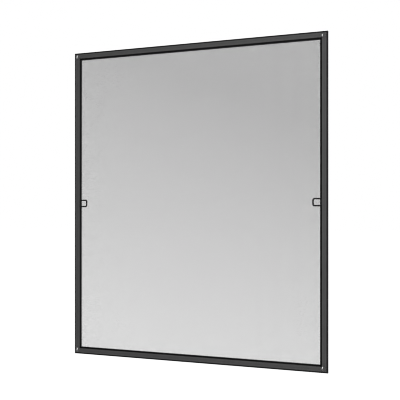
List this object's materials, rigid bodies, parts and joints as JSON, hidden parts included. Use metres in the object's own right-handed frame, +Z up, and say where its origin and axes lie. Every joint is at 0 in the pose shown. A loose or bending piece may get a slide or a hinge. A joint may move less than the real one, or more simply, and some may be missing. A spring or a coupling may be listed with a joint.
{
  "type": "window screen frame",
  "caption": "Dark framed insect screen that hangs in front of a window: slim members, corner pieces, see-through mesh, rubber seal, pull loops and hooked rear brackets.",
  "frame": {"origin": "centre of the box round the whole part, hooks included", "axes": "+X to the right seen from the room, +Z up, -Y towards the room"},
  "size_m": [1, 0.035, 1.212],
  "materials": {
    "member_coat": "fine matt powder coat",
    "corner_plastic": "fine grain",
    "seal_rubber": "matt",
    "spline_rubber": "matt",
    "mesh_yarn": "coated glass yarn",
    "loop_plastic": "satin",
    "bracket_steel": "rolled stainless strip",
    "bolt_coat": "gloss dark coat",
    "nut_steel": "plain stainless"
  },
  "bodies": {
    "root": {"bracket_nuts": "nut_steel", "corner_bolts": "bolt_coat", "corner_connector_bottom_left": "corner_plastic", "corner_connector_bottom_right": "corner_plastic", "corner_connector_top_left": "corner_plastic", "corner_connector_top_right": "corner_plastic", "hanging_bracket_bottom_left": "bracket_steel", "hanging_bracket_bottom_right": "bracket_steel", "hanging_bracket_top_left": "bracket_steel", "hanging_bracket_top_right": "bracket_steel", "insect_mesh": "mesh_yarn", "profile_bottom": "member_coat", "profile_left": "member_coat", "profile_right": "member_coat", "profile_top": "member_coat", "pull_loop_left": "loop_plastic", "pull_loop_right": "loop_plastic", "seal_bottom": "seal_rubber", "seal_left": "seal_rubber", "seal_right": "seal_rubber", "seal_top": "seal_rubber", "spline_bottom": "spline_rubber", "spline_left_lower": "spline_rubber", "spline_left_upper": "spline_rubber", "spline_right_lower": "spline_rubber", "spline_right_upper": "spline_rubber", "spline_top": "spline_rubber"}
  },
  "joints": []
}
